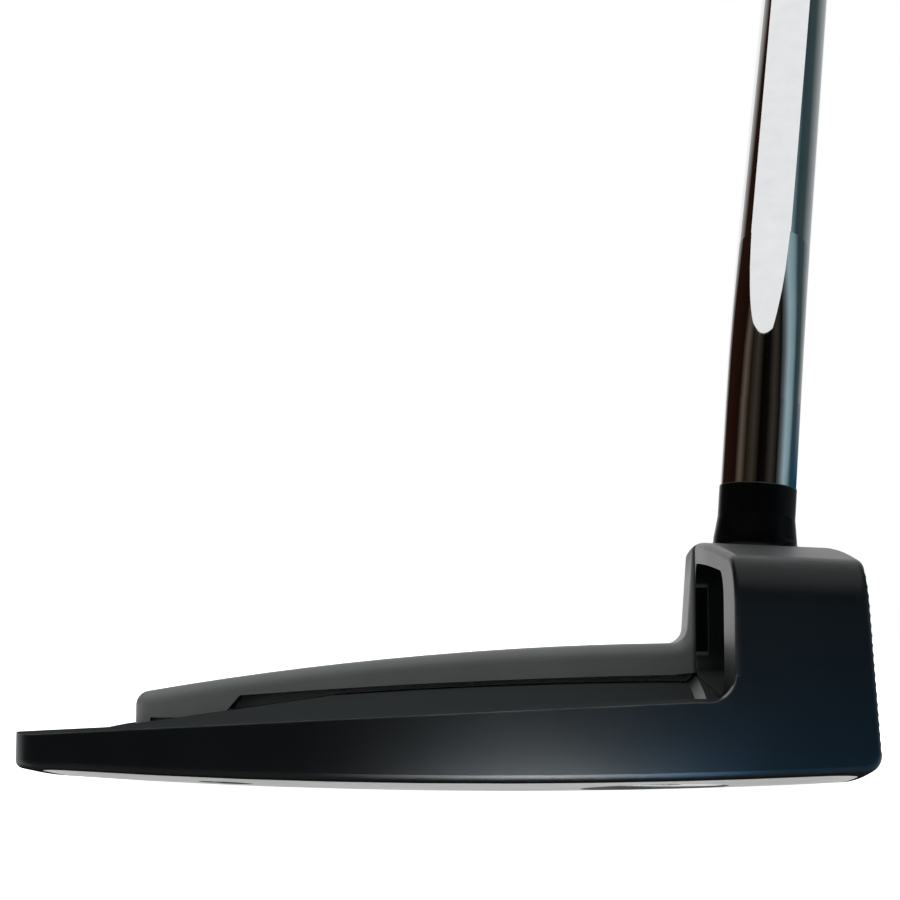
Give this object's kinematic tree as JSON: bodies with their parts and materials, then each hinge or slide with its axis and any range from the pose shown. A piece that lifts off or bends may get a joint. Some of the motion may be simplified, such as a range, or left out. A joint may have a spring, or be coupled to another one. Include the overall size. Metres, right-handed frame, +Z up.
{
  "type": "mallet putter",
  "caption": "Square-tailed black mallet putter with a central alignment rail, hollow face block, steel sole plate, double-bend chrome shaft and rubber grip.",
  "frame": {"origin": "middle of the small flat on the sole, where the soled head rests on the ground", "axes": "+X along the target line out of the face, +Y from toe to heel, towards the player, +Z up; the shaft leans towards +Y at its lie of 70 degrees"},
  "size_m": [0.1005, 0.3703, 0.8153],
  "materials": {
    "black_anodised": "satin black anodised, bead blasted then anodised",
    "sole_steel": "satin stainless steel",
    "white_fill": "matte white fill",
    "neck_black": "satin black coated steel",
    "chrome_tube": "mirror chrome plate",
    "grip_rubber": "matte moulded rubber",
    "cap_rubber": "matte moulded rubber",
    "tape": "plain double-sided grip tape",
    "fastener_steel": "plain machined steel",
    "fastener_black": "black oxide steel",
    "weight_steel": "turned stainless steel",
    "seal_rubber": "matte rubber"
  },
  "bodies": {
    "root": {"head_body": "black_anodised", "alignment_rail": "black_anodised", "sole_plate": "sole_steel", "sight_line": "white_fill", "neck": "neck_black", "neck_bolt": "fastener_steel", "neck_dowel": "fastener_steel", "shaft": "chrome_tube", "grip": "grip_rubber", "grip_cap": "cap_rubber", "grip_tape": "tape", "sole_screws": "fastener_black", "rail_screws_front": "fastener_steel", "rail_screws_rear": "fastener_steel", "rail_dowels": "fastener_steel", "toe_weight": "weight_steel", "heel_weight": "weight_steel", "toe_weight_bush": "fastener_steel", "heel_weight_bush": "fastener_steel", "toe_weight_oring": "seal_rubber", "heel_weight_oring": "seal_rubber"}
  },
  "joints": []
}
